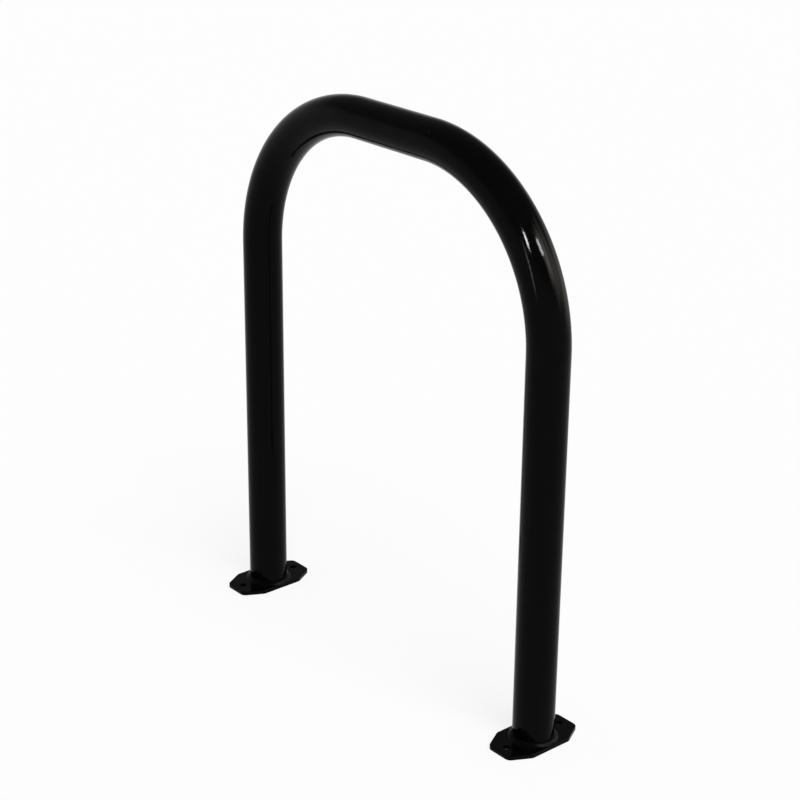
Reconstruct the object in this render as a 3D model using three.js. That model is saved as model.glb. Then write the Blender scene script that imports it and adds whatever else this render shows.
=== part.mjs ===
// Hoop bike rack: one bent steel tube, welded at each foot to a base plate for bolting down.
// Millimetres, +Z up. The hoop stands in the XZ plane, and the origin is on the ground,
// midway between the two feet.
import * as THREE from 'three';

// Hoop tube
const overallHeight = 852;
const legSpacing = 628;            // between the centrelines of the two legs
const bendRadius = 240;            // of the tube's centreline
const tubeDiameter = 60.3;
const tubeWall = 3.9;
const tubeSides = 48;
const boreSides = 24;
const bendSteps = 24;              // in each quarter bend

// Weld bead round the foot of each leg
const weldLeg = 6;
const weldCrown = 0.8;             // how far its face stands out from a flat fillet
const weldClearance = 0.3;         // to the tube
const weldSides = 64;
const weldFaceSteps = 6;

// Base plates, with their long side across the hoop
const plateThickness = 6.5;
const plateLedge = 1.05;           // beside the weld bead
const plateEndFlat = 40;
const plateSideFlat = 70;
const plateCornerRadius = 10;
const plateEdgeBreak = 0.7;
const cornerSteps = 5;

// Holes in each base plate
const boltHoleDiameter = 11;
const boltSetback = 14.55;         // from the weld bead to the hole's centre
const boltEndMargin = 16;          // from the hole's centre to the plate's end
const drainHoleDiameter = 10;      // on the leg's axis, to vent the hollow tube
const holeSides = 24;

const coating = new THREE.MeshStandardMaterial({ color: 0x0a0a0b, roughness: 0.18, metalness: 0 });

const tubeRadius = tubeDiameter / 2;
const boreRadius = tubeRadius - tubeWall;
const footX = legSpacing / 2;
const bendCentreX = footX - bendRadius;
const bendCentreZ = overallHeight - tubeRadius - bendRadius;
const weldRootRadius = tubeRadius + weldClearance;
const weldToeRadius = weldRootRadius + weldLeg;
const boltHoleY = weldToeRadius + boltSetback;
const plateHalfWidth = weldToeRadius + plateLedge;
const plateHalfLength = boltHoleY + boltEndMargin;

function circlePoints(radius, sides, centreY = 0) {
  const points = [];
  for (let i = 0; i < sides; i++) {
    const angle = (i / sides) * 2 * Math.PI;
    points.push(new THREE.Vector2(radius * Math.cos(angle), centreY + radius * Math.sin(angle)));
  }
  return points;
}

// The tube's centreline: up the left leg, round two quarter bends and down the right leg.
// It is straight between its stations, so that only the bends are divided.
class HoopCentreline extends THREE.Curve {
  constructor() {
    super();
    this.stations = [{ x: -footX, z: plateThickness, heading: Math.PI / 2 }];
    for (let i = 0; i <= bendSteps; i++) {
      this.stations.push(this.bendStation(-1, i / bendSteps));
    }
    for (let i = bendSteps; i >= 0; i--) {
      this.stations.push(this.bendStation(1, i / bendSteps));
    }
    this.stations.push({ x: footX, z: plateThickness, heading: -Math.PI / 2 });
  }

  // A point of one bend, where riseShare is 0 at the leg and 1 at the straight top
  bendStation(side, riseShare) {
    const angle = riseShare * Math.PI / 2;
    return {
      x: side * (bendCentreX + bendRadius * Math.cos(angle)),
      z: bendCentreZ + bendRadius * Math.sin(angle),
      heading: side * (angle - Math.PI / 2),
    };
  }

  getPointAt(t) {
    const { x, z } = this.stations[Math.round(t * this.lastStation)];
    return new THREE.Vector3(x, 0, z);
  }

  getTangentAt(t) {
    const { heading } = this.stations[Math.round(t * this.lastStation)];
    return new THREE.Vector3(Math.cos(heading), 0, Math.sin(heading));
  }

  get lastStation() {
    return this.stations.length - 1;
  }
}

// One open-ended pipe, so that its bore drains through the base plates
function hoopTubeGeometry() {
  const section = new THREE.Shape(circlePoints(tubeRadius, tubeSides));
  section.holes.push(new THREE.Path(circlePoints(boreRadius, boreSides)));
  const centreline = new HoopCentreline();
  return new THREE.ExtrudeGeometry(section, {
    extrudePath: centreline,
    steps: centreline.lastStation,
  });
}

// A convex outline with an arc of the same radius at each corner, counterclockwise
function roundedOutline(corners, radius, steps) {
  const points = [];
  corners.forEach((corner, i) => {
    const before = corners.at(i - 1);
    const after = corners[(i + 1) % corners.length];
    const heading = corner.clone().sub(before).angle();
    const nextHeading = after.clone().sub(corner).angle();
    const turn = THREE.MathUtils.euclideanModulo(nextHeading - heading, 2 * Math.PI);
    const inward = heading + (Math.PI + turn) / 2;
    const reach = radius / Math.cos(turn / 2);
    const centre = new THREE.Vector2(Math.cos(inward), Math.sin(inward)).multiplyScalar(reach).add(corner);
    for (let step = 0; step <= steps; step++) {
      const angle = heading - Math.PI / 2 + turn * step / steps;
      points.push(new THREE.Vector2(Math.cos(angle), Math.sin(angle)).multiplyScalar(radius).add(centre));
    }
  });
  return points;
}

// A long octagon with rounded corners, two bolt holes and a drain hole under the tube
function basePlateGeometry() {
  const quarter = [[plateHalfWidth, plateSideFlat / 2], [plateEndFlat / 2, plateHalfLength]];
  const half = [...quarter, ...quarter.toReversed().map(([x, y]) => [-x, y])];
  const corners = [...half, ...half.map(([x, y]) => [-x, -y])].map(([x, y]) => new THREE.Vector2(x, y));
  const outline = new THREE.Shape(roundedOutline(corners, plateCornerRadius, cornerSteps));
  outline.holes.push(new THREE.Path(circlePoints(drainHoleDiameter / 2, holeSides)));
  for (const side of [-1, 1]) {
    outline.holes.push(new THREE.Path(circlePoints(boltHoleDiameter / 2, holeSides, side * boltHoleY)));
  }
  const geometry = new THREE.ExtrudeGeometry(outline, {
    depth: plateThickness - 2 * plateEdgeBreak,
    bevelThickness: plateEdgeBreak,
    bevelSize: plateEdgeBreak,
    bevelOffset: -plateEdgeBreak,
    bevelSegments: 1,
  });
  return geometry.translate(0, 0, plateEdgeBreak);
}

// A fillet of weld metal between the plate and the tube, with a slightly crowned face
function weldBeadGeometry() {
  const root = new THREE.Vector2(weldRootRadius, 0);
  const plateToe = new THREE.Vector2(weldToeRadius, 0);
  const tubeToe = new THREE.Vector2(weldRootRadius, weldLeg);
  const outward = new THREE.Vector2(1, 1).normalize();
  const pull = plateToe.clone().add(tubeToe).divideScalar(2).addScaledVector(outward, 2 * weldCrown);
  const face = new THREE.QuadraticBezierCurve(plateToe, pull, tubeToe);
  const profile = [root, ...face.getPoints(weldFaceSteps), root];
  return new THREE.LatheGeometry(profile, weldSides).rotateX(Math.PI / 2);
}

function namedMesh(name, geometry) {
  const mesh = new THREE.Mesh(geometry, coating);
  mesh.name = name;
  return mesh;
}

const rack = new THREE.Group();
rack.add(namedMesh('hoop_tube', hoopTubeGeometry()));

for (const [side, name] of [[-1, 'left'], [1, 'right']]) {
  const foot = new THREE.Group();
  foot.position.x = side * footX;
  const bead = namedMesh(`${name}_weld_bead`, weldBeadGeometry());
  bead.position.z = plateThickness;
  foot.add(namedMesh(`${name}_base_plate`, basePlateGeometry()), bead);
  rack.add(foot);
}

export default rack;
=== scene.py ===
"""The looks of a hoop bike rack: a bent steel tube, two base plates and their weld beads."""

import math

import bmesh
import bpy
import numpy as np
from mathutils import Matrix, Vector


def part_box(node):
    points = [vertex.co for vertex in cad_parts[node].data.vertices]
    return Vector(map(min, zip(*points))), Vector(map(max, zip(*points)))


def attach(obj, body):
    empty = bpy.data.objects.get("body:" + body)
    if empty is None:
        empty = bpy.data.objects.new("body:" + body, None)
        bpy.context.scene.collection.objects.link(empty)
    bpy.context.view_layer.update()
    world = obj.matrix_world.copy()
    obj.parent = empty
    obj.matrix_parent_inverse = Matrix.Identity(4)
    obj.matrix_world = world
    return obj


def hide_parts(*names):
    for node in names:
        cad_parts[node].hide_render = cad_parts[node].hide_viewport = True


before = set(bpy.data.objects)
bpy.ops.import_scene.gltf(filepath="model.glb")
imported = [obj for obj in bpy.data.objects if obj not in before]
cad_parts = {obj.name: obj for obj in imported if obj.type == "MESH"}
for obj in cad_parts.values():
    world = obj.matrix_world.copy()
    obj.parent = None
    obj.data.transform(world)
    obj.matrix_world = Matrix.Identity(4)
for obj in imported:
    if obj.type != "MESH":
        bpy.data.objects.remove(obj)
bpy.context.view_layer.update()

MM = 0.001

# The frame's own sizes, in metres
tube_low, tube_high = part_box("hoop_tube")
plate_low, plate_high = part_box("right_base_plate")
bead_low, bead_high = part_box("right_weld_bead")
TUBE_RADIUS = (tube_high.y - tube_low.y) / 2
FOOT_X = tube_high.x - TUBE_RADIUS
CROWN_Z = tube_high.z - TUBE_RADIUS
PLATE_TOP = plate_high.z
PLATE_HALF_WIDTH = (plate_high.x - plate_low.x) / 2
PLATE_HALF_LENGTH = plate_high.y
BEAD_TOE_RADIUS = bead_high.y
BEAD_HEIGHT = bead_high.z - bead_low.z

# Sizes of the pieces that the frame's boxes do not give
BEND_RADIUS = 240 * MM
TUBE_WALL = 3.9 * MM
PLATE_END_FLAT = 40 * MM
PLATE_SIDE_FLAT = 70 * MM
PLATE_CORNER_RADIUS = 10 * MM
PLATE_EDGE_RADIUS = 0.9 * MM
BOLT_HOLE_RADIUS = 5.5 * MM
BOLT_HOLE_Y = 51 * MM
DRAIN_HOLE_RADIUS = 5 * MM
HOLE_EDGE_RADIUS = 0.2 * MM

# How finely the meshes are divided
TUBE_SIDES = 128
BEND_STEPS = 110
CORNER_STEPS = 8
HOLE_SIDES = 48
EDGE_STEPS = 4

# An edge that turns by more than this is sharp
TUBE_SHARP_ANGLE = math.radians(40)
BEAD_SHARP_ANGLE = math.radians(60)


def new_piece(name, vertices, faces, material):
    """A mesh piece that rides on the rack's one body."""
    mesh = bpy.data.meshes.new(name)
    mesh.from_pydata([tuple(v) for v in vertices], [], [tuple(f) for f in faces])
    mesh.validate()
    mesh.materials.append(material)
    for polygon in mesh.polygons:
        polygon.use_smooth = True
    piece = bpy.data.objects.new(name, mesh)
    bpy.context.scene.collection.objects.link(piece)
    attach(piece, "root")
    return piece


def ring_faces(rings, sides, first=0, flip=False, closed=False):
    """Quads between rings of vertices that were listed one ring after another."""
    faces = []
    for i in range(rings if closed else rings - 1):
        low = first + i * sides
        high = first + ((i + 1) % rings) * sides
        for j in range(sides):
            k = (j + 1) % sides
            quad = (low + j, low + k, high + k, high + j)
            faces.append(quad[::-1] if flip else quad)
    return faces


def grey(level):
    """A grey of this level, as a colour socket takes it."""
    return (level, level, level, 1)


# Coating

SPECULAR_LEVEL = 0.035     # low, so that the gloss stays black over the white floor
DARKER_BLACK = (0.0007, 0.0007, 0.00072, 1)
LIGHTER_BLACK = (0.0016, 0.0016, 0.00164, 1)
PATCH_SIZE = 40 * MM       # of the patches where the gloss and the black differ
NOISE_LOW = 0.3            # a noise texture is mostly between these two
NOISE_HIGH = 0.7


def coating(name, roughness, roughness_spread, peel_size, peel_height, wave_size, wave_height):
    """Gloss black powder coat: faint orange peel over slow waves, and a little uneven gloss."""
    material = bpy.data.materials.new(name)
    material.use_nodes = True
    nodes, links = material.node_tree.nodes, material.node_tree.links
    shader = nodes["Principled BSDF"]
    shader.inputs["Specular IOR Level"].default_value = SPECULAR_LEVEL
    place = nodes.new("ShaderNodeTexCoord")

    def noise(size, detail):
        node = nodes.new("ShaderNodeTexNoise")
        node.inputs["Scale"].default_value = 1 / size
        node.inputs["Detail"].default_value = detail
        links.new(place.outputs["Object"], node.inputs["Vector"])
        return node.outputs["Fac"]

    def bump(height, distance, under=None):
        node = nodes.new("ShaderNodeBump")
        node.inputs["Strength"].default_value = 1
        node.inputs["Distance"].default_value = distance
        links.new(height, node.inputs["Height"])
        if under:
            links.new(under, node.inputs["Normal"])
        return node.outputs["Normal"]

    waves = bump(noise(wave_size, detail=0), wave_height)
    peel = bump(noise(peel_size, detail=1), peel_height, waves)
    links.new(peel, shader.inputs["Normal"])

    patches = noise(PATCH_SIZE, detail=2)
    gloss = nodes.new("ShaderNodeMapRange")
    gloss.inputs["From Min"].default_value = NOISE_LOW
    gloss.inputs["From Max"].default_value = NOISE_HIGH
    gloss.inputs["To Min"].default_value = roughness - roughness_spread
    gloss.inputs["To Max"].default_value = roughness + roughness_spread
    links.new(patches, gloss.inputs["Value"])
    links.new(gloss.outputs["Result"], shader.inputs["Roughness"])

    tone = nodes.new("ShaderNodeValToRGB")
    tone.color_ramp.elements[0].color = DARKER_BLACK
    tone.color_ramp.elements[1].color = LIGHTER_BLACK
    links.new(patches, tone.inputs["Fac"])
    links.new(tone.outputs["Color"], shader.inputs["Base Color"])
    return material


tube_coating = coating("tube_coating", roughness=0.085, roughness_spread=0.025,
                       peel_size=3 * MM, peel_height=0.05 * MM,
                       wave_size=14 * MM, wave_height=0.1 * MM)
plate_coating = coating("plate_coating", roughness=0.12, roughness_spread=0.03,
                        peel_size=2.6 * MM, peel_height=0.05 * MM,
                        wave_size=12 * MM, wave_height=0.1 * MM)
weld_coating = coating("weld_coating", roughness=0.12, roughness_spread=0.03,
                       peel_size=1.5 * MM, peel_height=0.02 * MM,
                       wave_size=6 * MM, wave_height=0.06 * MM)


# Hoop

def hoop_stations():
    """(x, z, heading) along the centreline, from the left foot to the right foot."""
    bend_x = FOOT_X - BEND_RADIUS
    bend_z = CROWN_Z - BEND_RADIUS
    stations = [(-FOOT_X, PLATE_TOP, math.pi / 2)]
    for side in (-1, 1):
        for i in range(BEND_STEPS + 1):
            rise = i if side < 0 else BEND_STEPS - i
            angle = math.pi / 2 * rise / BEND_STEPS
            x = side * (bend_x + BEND_RADIUS * math.cos(angle))
            z = bend_z + BEND_RADIUS * math.sin(angle)
            stations.append((x, z, side * (angle - math.pi / 2)))
    stations.append((FOOT_X, PLATE_TOP, -math.pi / 2))
    return stations


def hoop_rings(stations, radius):
    """A ring of vertices round the centreline at each station."""
    turns = np.arange(TUBE_SIDES) / TUBE_SIDES * 2 * math.pi
    across = np.array([0, 1, 0])
    rings = []
    for x, z, heading in stations:
        outward = np.array([-math.sin(heading), 0, math.cos(heading)])
        ring = np.outer(np.cos(turns), outward) + np.outer(np.sin(turns), across)
        rings.append(np.array([x, 0, z]) + radius * ring)
    return np.concatenate(rings)


def make_hoop():
    """One bent pipe: its outside, its bore, and a flat ring between them at each foot."""
    stations = hoop_stations()
    count = len(stations)
    outside = hoop_rings(stations, TUBE_RADIUS)
    bore = hoop_rings(stations, TUBE_RADIUS - TUBE_WALL)
    first_bore = len(outside)
    faces = ring_faces(count, TUBE_SIDES, flip=True)
    faces += ring_faces(count, TUBE_SIDES, first_bore)
    for ring, flip in ((0, False), (count - 1, True)):
        out = ring * TUBE_SIDES
        for j in range(TUBE_SIDES):
            k = (j + 1) % TUBE_SIDES
            quad = (out + j, out + k, first_bore + out + k, first_bore + out + j)
            faces.append(quad[::-1] if flip else quad)
    vertices = np.concatenate([outside, bore])
    hoop = new_piece("bent_hoop", vertices, faces, tube_coating)
    hoop.data.set_sharp_from_angle(angle=TUBE_SHARP_ANGLE)
    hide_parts("hoop_tube")


make_hoop()


# Coating nib

NIB_BEND_TURN = math.radians(5.06)      # past the start of the right bend
NIB_FRONT_TURN = math.radians(49.5)     # from the crown's top towards the front
NIB_RADIUS = 2.6 * MM
NIB_HEIGHT = 0.9 * MM
NIB_OVERLAP = 0.1 * MM
NIB_RIM_POWER = 6                       # high, so that only its rim is drawn in
NIB_RINGS = 12
NIB_SIDES = 32


def bend_surface(bend_turn, front_turn, lift):
    """A point on the outside of the right bend, or lifted off it."""
    out = np.array([math.sin(bend_turn), 0, math.cos(bend_turn)])
    centre = np.array([FOOT_X - BEND_RADIUS, 0, CROWN_Z - BEND_RADIUS]) + BEND_RADIUS * out
    normal = math.cos(front_turn) * out - math.sin(front_turn) * np.array([0, 1, 0])
    return centre + (TUBE_RADIUS + lift) * normal


def make_nib():
    """A small set drop in the coating, that lies on the curve of the tube."""
    bend_reach = BEND_RADIUS + TUBE_RADIUS * math.cos(NIB_FRONT_TURN)
    vertices = []
    for i in range(1, NIB_RINGS + 1):
        share = i / NIB_RINGS
        dome = NIB_HEIGHT * math.sqrt(1 - share ** 2) * (1 - share ** NIB_RIM_POWER)
        lift = dome - NIB_OVERLAP * share
        for j in range(NIB_SIDES):
            turn = 2 * math.pi * j / NIB_SIDES
            bend_turn = NIB_BEND_TURN + NIB_RADIUS * share * math.cos(turn) / bend_reach
            front_turn = NIB_FRONT_TURN - NIB_RADIUS * share * math.sin(turn) / TUBE_RADIUS
            vertices.append(bend_surface(bend_turn, front_turn, lift))
    faces = ring_faces(NIB_RINGS, NIB_SIDES, flip=True)
    top = len(vertices)
    vertices.append(bend_surface(NIB_BEND_TURN, NIB_FRONT_TURN, NIB_HEIGHT))
    faces += [(top, j, (j + 1) % NIB_SIDES) for j in range(NIB_SIDES)]
    last = top - NIB_SIDES
    faces.append([last + j for j in reversed(range(NIB_SIDES))])
    new_piece("coating_nib", vertices, faces, tube_coating)


make_nib()


# Base plates

def corner_arcs():
    """(centre, first angle, turn) of each rounded corner of the long octagon."""
    quarter = [(PLATE_HALF_WIDTH, PLATE_SIDE_FLAT / 2), (PLATE_END_FLAT / 2, PLATE_HALF_LENGTH)]
    half = quarter + [(-x, y) for x, y in reversed(quarter)]
    corners = [Vector(c) for c in half + [(-x, -y) for x, y in half]]
    arcs = []
    for i, corner in enumerate(corners):
        into = corner - corners[i - 1]
        out_of = corners[(i + 1) % len(corners)] - corner
        heading = math.atan2(into.y, into.x)
        turn = (math.atan2(out_of.y, out_of.x) - heading) % (2 * math.pi)
        inward = heading + (math.pi + turn) / 2
        reach = PLATE_CORNER_RADIUS / math.cos(turn / 2)
        centre = corner + reach * Vector((math.cos(inward), math.sin(inward)))
        arcs.append((centre, heading - math.pi / 2, turn))
    return arcs


def plate_outline(inset):
    """The plate's outline, moved in from its edge."""
    points = []
    for centre, first, turn in corner_arcs():
        for step in range(CORNER_STEPS + 1):
            angle = first + turn * step / CORNER_STEPS
            ray = Vector((math.cos(angle), math.sin(angle)))
            points.append(centre + (PLATE_CORNER_RADIUS - inset) * ray)
    return points


def hole_outline(radius, y):
    """A function that gives a hole's outline, moved back from its edge."""
    def outline(inset):
        reach = radius + inset
        turns = [2 * math.pi * i / HOLE_SIDES for i in range(HOLE_SIDES)]
        return [Vector((reach * math.cos(a), y + reach * math.sin(a))) for a in turns]
    return outline


def edge_profile(edge_radius):
    """(inset, height) up the edge of the plate, with both its arrises rounded."""
    turns = [math.pi / 2 * i / EDGE_STEPS for i in range(EDGE_STEPS + 1)]
    lower = [(edge_radius * (1 - math.sin(a)), edge_radius * (1 - math.cos(a))) for a in turns]
    upper = [(inset, PLATE_TOP - height) for inset, height in reversed(lower)]
    return lower + upper


def make_plate(side_name, side):
    """A flat plate: the walls of its outline and holes, with a face below and one above."""
    mesh = bmesh.new()
    holes = ((DRAIN_HOLE_RADIUS, 0), (BOLT_HOLE_RADIUS, -BOLT_HOLE_Y), (BOLT_HOLE_RADIUS, BOLT_HOLE_Y))
    walls = [(plate_outline, PLATE_EDGE_RADIUS, False)]
    walls += [(hole_outline(radius, y), HOLE_EDGE_RADIUS, True) for radius, y in holes]
    rims = ([], [])
    for outline, edge_radius, is_hole in walls:
        rings = []
        for inset, height in edge_profile(edge_radius):
            ring = [mesh.verts.new((side * FOOT_X + p.x, p.y, height)) for p in outline(inset)]
            rings.append(ring)
        for low, high in zip(rings, rings[1:]):
            for j in range(len(low)):
                k = (j + 1) % len(low)
                quad = (low[j], low[k], high[k], high[j])
                mesh.faces.new(quad[::-1] if is_hole else quad)
        for rim, ring in zip(rims, (rings[0], rings[-1])):
            rim += [mesh.edges.get((ring[j - 1], ring[j])) for j in range(len(ring))]
    for rim, facing in zip(rims, ((0, 0, -1), (0, 0, 1))):
        bmesh.ops.triangle_fill(mesh, edges=rim, normal=facing, use_beauty=True)
    bmesh.ops.recalc_face_normals(mesh, faces=mesh.faces)
    mesh.verts.index_update()
    vertices = [v.co.copy() for v in mesh.verts]
    faces = [[v.index for v in f.verts] for f in mesh.faces]
    mesh.free()
    plate = new_piece(f"{side_name}_foot_plate", vertices, faces, plate_coating)
    plate.modifiers.new("flat_faces", "WEIGHTED_NORMAL").mode = "FACE_AREA"
    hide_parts(f"{side_name}_base_plate")


# Weld beads

BEAD_STEPS = 720
BEAD_FACE_STEPS = 18
BEAD_RIPPLES = 78
BEAD_RIPPLE_HEIGHT = 0.32 * MM
BEAD_RIPPLE_BOW_SHARE = 1.4     # of one ripple, that its middle runs ahead of its ends
BEAD_RIPPLE_LEAN = 0.6          # below 1, so that a ripple rises faster than it falls
BEAD_CROWN = 0.8 * MM
BEAD_WANDER = 0.35 * MM
BEAD_TOP_PHASE = 2              # so that its top and its toe do not wander together
BEAD_OVERLAP = 0.3 * MM         # into the tube and the plate

# The waves round the leg that a toe wanders by: their number, height and share of the phase
WANDER_WAVES = ((3, 1, 1), (7, 0.6, 2.3), (13, 0.4, 4.1))
WANDER_HEIGHT = sum(height for number, height, phase_share in WANDER_WAVES)


def shortfall(angle, phase):
    """Slow waves round the leg, between -1 and 0, that meet themselves."""
    waves = sum(height * math.sin(number * angle + phase_share * phase)
                for number, height, phase_share in WANDER_WAVES)
    return (waves / WANDER_HEIGHT - 1) / 2


def make_bead(side_name, side):
    """A fillet weld: overlapping ripples over a slightly crowned face, with uneven toes."""
    root = TUBE_RADIUS - BEAD_OVERLAP
    vertices = []
    for i in range(BEAD_STEPS):
        angle = 2 * math.pi * i / BEAD_STEPS
        toe = BEAD_TOE_RADIUS + BEAD_WANDER * shortfall(angle, side)
        top = BEAD_HEIGHT + BEAD_WANDER * shortfall(angle, BEAD_TOP_PHASE + side)
        section = [(root, -BEAD_OVERLAP), (toe, -BEAD_OVERLAP)]
        for j in range(BEAD_FACE_STEPS + 1):
            share = j / BEAD_FACE_STEPS
            bulge = 4 * share * (1 - share)
            fade = math.sqrt(bulge)
            run = BEAD_RIPPLES * angle / (2 * math.pi) + BEAD_RIPPLE_BOW_SHARE * bulge
            ripple = math.sin(math.pi * (run % 1) ** BEAD_RIPPLE_LEAN) * fade
            lift = BEAD_CROWN * bulge - BEAD_RIPPLE_HEIGHT * (1 - ripple) * fade
            slant = lift * math.sqrt(0.5)
            section.append((toe + (TUBE_RADIUS - toe) * share + slant, top * share + slant))
        section.append((root, top))
        for out, up in section:
            x = side * FOOT_X + out * math.cos(angle)
            y = out * math.sin(angle)
            vertices.append((x, y, PLATE_TOP + up))
    faces = ring_faces(BEAD_STEPS, len(vertices) // BEAD_STEPS, closed=True, flip=True)
    bead = new_piece(f"{side_name}_fillet_weld", vertices, faces, weld_coating)
    bead.data.set_sharp_from_angle(angle=BEAD_SHARP_ANGLE)
    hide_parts(f"{side_name}_weld_bead")


for side_name, side in (("left", -1), ("right", 1)):
    make_plate(side_name, side)
    make_bead(side_name, side)


# Floor

FLOOR_RADIUS = 60
FLOOR_SIDES = 128
FLOOR_COLOUR = 0.95
FLOOR_LIFT = 0.8           # how much of its white it gives by itself, where it is seen


def background_share(nodes, links):
    """1 for the rays that show a surface as the background: seen, mirrored or through glass."""
    rays = nodes.new("ShaderNodeLightPath")
    share = rays.outputs["Is Camera Ray"]
    for kind in ("Is Glossy Ray", "Is Transmission Ray"):
        either = nodes.new("ShaderNodeMath")
        either.operation = "MAXIMUM"
        links.new(share, either.inputs[0])
        links.new(rays.outputs[kind], either.inputs[1])
        share = either.outputs["Value"]
    return share


def lift_with_painted_hole_shade(nodes, links):
    """The floor's lift, which stops under the plates' bolt holes: painted shade, so that the floor
    seen through them stays dark.
    """
    place = nodes.new("ShaderNodeTexCoord")
    folded = nodes.new("ShaderNodeVectorMath")
    folded.operation = "ABSOLUTE"
    links.new(place.outputs["Object"], folded.inputs[0])
    away = nodes.new("ShaderNodeVectorMath")
    away.operation = "DISTANCE"
    away.inputs[1].default_value = (FOOT_X, BOLT_HOLE_Y, 0)
    links.new(folded.outputs["Vector"], away.inputs[0])
    # painted shade: the lift fades to nothing on the floor under each bolt hole
    fade = nodes.new("ShaderNodeMapRange")
    fade.inputs["From Min"].default_value = BOLT_HOLE_RADIUS
    fade.inputs["From Max"].default_value = 2 * BOLT_HOLE_RADIUS
    fade.inputs["To Max"].default_value = FLOOR_LIFT
    links.new(away.outputs["Value"], fade.inputs["Value"])
    return fade.outputs["Result"]


def make_floor():
    """A pale floor that is lifted towards white where it is seen, and keeps its shadows."""
    bpy.ops.mesh.primitive_circle_add(vertices=FLOOR_SIDES, radius=FLOOR_RADIUS, fill_type="NGON")
    floor = bpy.context.object
    floor.name = "floor"
    material = bpy.data.materials.new("floor")
    material.use_nodes = True
    nodes, links = material.node_tree.nodes, material.node_tree.links
    nodes.remove(nodes["Principled BSDF"])
    lit = nodes.new("ShaderNodeBsdfDiffuse")
    lit.inputs["Color"].default_value = grey(FLOOR_COLOUR)
    seen = nodes.new("ShaderNodeBsdfDiffuse")
    seen.inputs["Color"].default_value = grey(FLOOR_COLOUR * (1 - FLOOR_LIFT))
    lift = nodes.new("ShaderNodeEmission")
    links.new(lift_with_painted_hole_shade(nodes, links), lift.inputs["Strength"])
    both = nodes.new("ShaderNodeAddShader")
    links.new(seen.outputs["BSDF"], both.inputs[0])
    links.new(lift.outputs["Emission"], both.inputs[1])
    choice = nodes.new("ShaderNodeMixShader")
    links.new(background_share(nodes, links), choice.inputs["Fac"])
    links.new(lit.outputs["BSDF"], choice.inputs[1])
    links.new(both.outputs["Shader"], choice.inputs[2])
    links.new(choice.outputs["Shader"], nodes["Material Output"].inputs["Surface"])
    floor.data.materials.append(material)


make_floor()


# Light

HORIZON_STRENGTH = 0.986
ZENITH_STRENGTH = 0.35
SKY_FADE_START = 0.2       # sines of the elevations where the sky starts to darken
SKY_FADE_END = 0.45        # and where it stops
KEY_AZIMUTH = 75
KEY_ELEVATION = 58
KEY_STRENGTH = 2.07
KEY_ANGLE = 35
GLOSS_TARGET = Vector((0.30, 0, 0.70))
GLOSS_DISTANCE = 3.0


def direction(azimuth, elevation):
    """A unit vector; azimuth 0 is towards -Y and 90 towards +X."""
    a, e = math.radians(azimuth), math.radians(elevation)
    return Vector((math.sin(a) * math.cos(e), -math.cos(a) * math.cos(e), math.sin(e)))


def aimed(position, towards):
    """The matrix of a lamp or camera at position that looks along towards, with its top up."""
    back = -towards.normalized()
    right = Vector((0, 0, 1)).cross(back).normalized()
    up = back.cross(right)
    return Matrix.Translation(position) @ Matrix((right, up, back)).transposed().to_4x4()


def make_world():
    """As bright as the floor at the horizon, and darker above."""
    world = bpy.data.worlds.new("studio")
    bpy.context.scene.world = world
    world.use_nodes = True
    nodes, links = world.node_tree.nodes, world.node_tree.links
    place = nodes.new("ShaderNodeTexCoord")
    parts = nodes.new("ShaderNodeSeparateXYZ")
    fade = nodes.new("ShaderNodeMapRange")
    fade.inputs["From Min"].default_value = SKY_FADE_START
    fade.inputs["From Max"].default_value = SKY_FADE_END
    fade.inputs["To Min"].default_value = HORIZON_STRENGTH
    fade.inputs["To Max"].default_value = ZENITH_STRENGTH
    links.new(place.outputs["Generated"], parts.inputs["Vector"])
    links.new(parts.outputs["Z"], fade.inputs["Value"])
    links.new(fade.outputs["Result"], nodes["Background"].inputs["Strength"])
    nodes["Background"].inputs["Color"].default_value = grey(1)


def add_lamp(name, kind, matrix):
    """A lamp that the camera does not see."""
    lamp = bpy.data.lights.new(name, kind)
    holder = bpy.data.objects.new(name, lamp)
    bpy.context.scene.collection.objects.link(holder)
    holder.matrix_world = matrix
    holder.visible_camera = False
    return holder


def make_key():
    """A broad, soft lamp for the floor's shadow."""
    away = direction(KEY_AZIMUTH, KEY_ELEVATION)
    key = add_lamp("key", "SUN", aimed(away, -away))
    key.data.energy = KEY_STRENGTH
    key.data.angle = math.radians(KEY_ANGLE)
    key.visible_glossy = False


def soften(lamp, edge_share):
    """Fade an area lamp towards its edges, over this share of the way to its middle."""
    middle = 0.5
    lamp.use_nodes = True
    nodes, links = lamp.node_tree.nodes, lamp.node_tree.links
    place = nodes.new("ShaderNodeNewGeometry")
    split = nodes.new("ShaderNodeSeparateXYZ")
    links.new(place.outputs["Parametric"], split.inputs["Vector"])
    fades = []
    for axis in "XY":
        tent = nodes.new("ShaderNodeMath")
        tent.operation = "PINGPONG"
        tent.inputs[1].default_value = middle
        links.new(split.outputs[axis], tent.inputs[0])
        fade = nodes.new("ShaderNodeMapRange")
        fade.interpolation_type = "SMOOTHSTEP"
        fade.inputs["From Max"].default_value = edge_share * middle
        links.new(tent.outputs["Value"], fade.inputs["Value"])
        fades.append(fade.outputs["Result"])
    both = nodes.new("ShaderNodeMath")
    both.operation = "MULTIPLY"
    for fade, socket in zip(fades, both.inputs):
        links.new(fade, socket)
    links.new(both.outputs["Value"], nodes["Emission"].inputs["Strength"])


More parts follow.
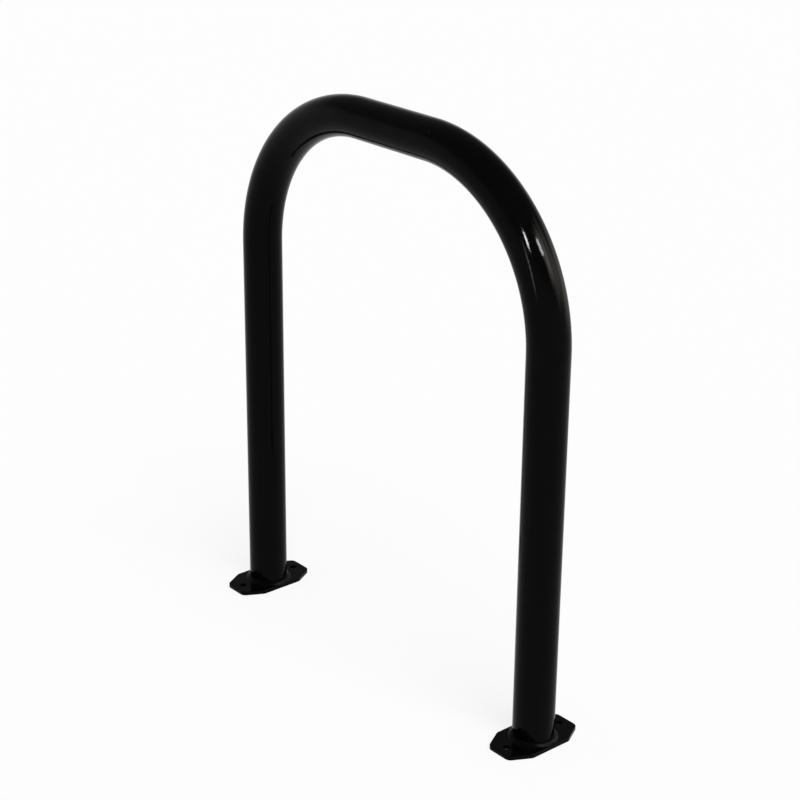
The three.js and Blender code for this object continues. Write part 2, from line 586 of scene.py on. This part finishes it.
def make_reflected_card(name, azimuth, elevation, wide, high, radiance, edge_share, tint=(1, 1, 1),
                        target=GLOSS_TARGET, distance=GLOSS_DISTANCE, spread=None):
    """A bright card that shows only as a reflection in the gloss. Its sizes are in degrees."""
    away = direction(azimuth, elevation)
    card = add_lamp(name, "AREA", aimed(target + away * distance, -away))
    card.data.shape = "RECTANGLE"
    card.data.size = 2 * distance * math.tan(math.radians(wide / 2))
    card.data.size_y = 2 * distance * math.tan(math.radians(high / 2))
    card.data.energy = radiance * math.pi * card.data.size * card.data.size_y
    card.data.color = tint
    card.visible_diffuse = False
    soften(card.data, edge_share)
    if spread:
        half = math.radians(spread / 2)
        card.data.spread = 2 * half
        card.data.energy *= 1 - half / math.tan(half)   # keeps its radiance straight ahead


make_world()
make_key()

# The first three cards are near the bend, so that their light stays there: from behind they do not
# break the hoop's outline, and they do not show on the feet
make_reflected_card("front_card", azimuth=36.5, elevation=33.9, wide=10.6, high=28.5, radiance=400,
                    edge_share=0.65, target=Vector((0.285, -0.021, 0.737)), distance=0.15, spread=18)
make_reflected_card("strip_card", azimuth=13, elevation=12, wide=8.3, high=45.6, radiance=20.5,
                    edge_share=0.9, target=Vector((0.300, -0.026, 0.698)), distance=0.29)
make_reflected_card("side_card", azimuth=100, elevation=39.5, wide=15.4, high=14.8, radiance=142,
                    edge_share=0.4, target=Vector((0.298, -0.010, 0.730)), distance=0.35, spread=60)
make_reflected_card("near_wall_card", azimuth=113, elevation=33, wide=34, high=38, radiance=15.2,
                    edge_share=0.8, tint=(1, 0.93, 0.82))
make_reflected_card("middle_wall_card", azimuth=132, elevation=24, wide=56, high=50, radiance=6,
                    edge_share=0.8, tint=(1, 0.95, 0.86))
make_reflected_card("far_wall_card", azimuth=165, elevation=4, wide=50, high=40, radiance=2,
                    edge_share=0.8, tint=(1, 0.97, 0.8))


# Camera

CAMERA_PLACE = Vector((1.99137, -1.68027, 1.48443))
CAMERA_AZIMUTH = 49.626
CAMERA_DOWN = 22.232
CAMERA_ROLL = 0.597
CAMERA_LENS = 87.25
CAMERA_SENSOR = 36         # its width, in millimetres as the lens is


def make_camera():
    """The photograph's view, which was fitted to the outline in it."""
    data = bpy.data.cameras.new("camera")
    data.sensor_width = CAMERA_SENSOR
    data.lens = CAMERA_LENS
    camera = bpy.data.objects.new("camera", data)
    bpy.context.scene.collection.objects.link(camera)
    towards = -direction(CAMERA_AZIMUTH, CAMERA_DOWN)
    roll = Matrix.Rotation(math.radians(CAMERA_ROLL), 4, "Z")
    camera.matrix_world = aimed(CAMERA_PLACE, towards) @ roll
    bpy.context.scene.camera = camera


make_camera()
bpy.context.scene.view_settings.view_transform = "Standard"
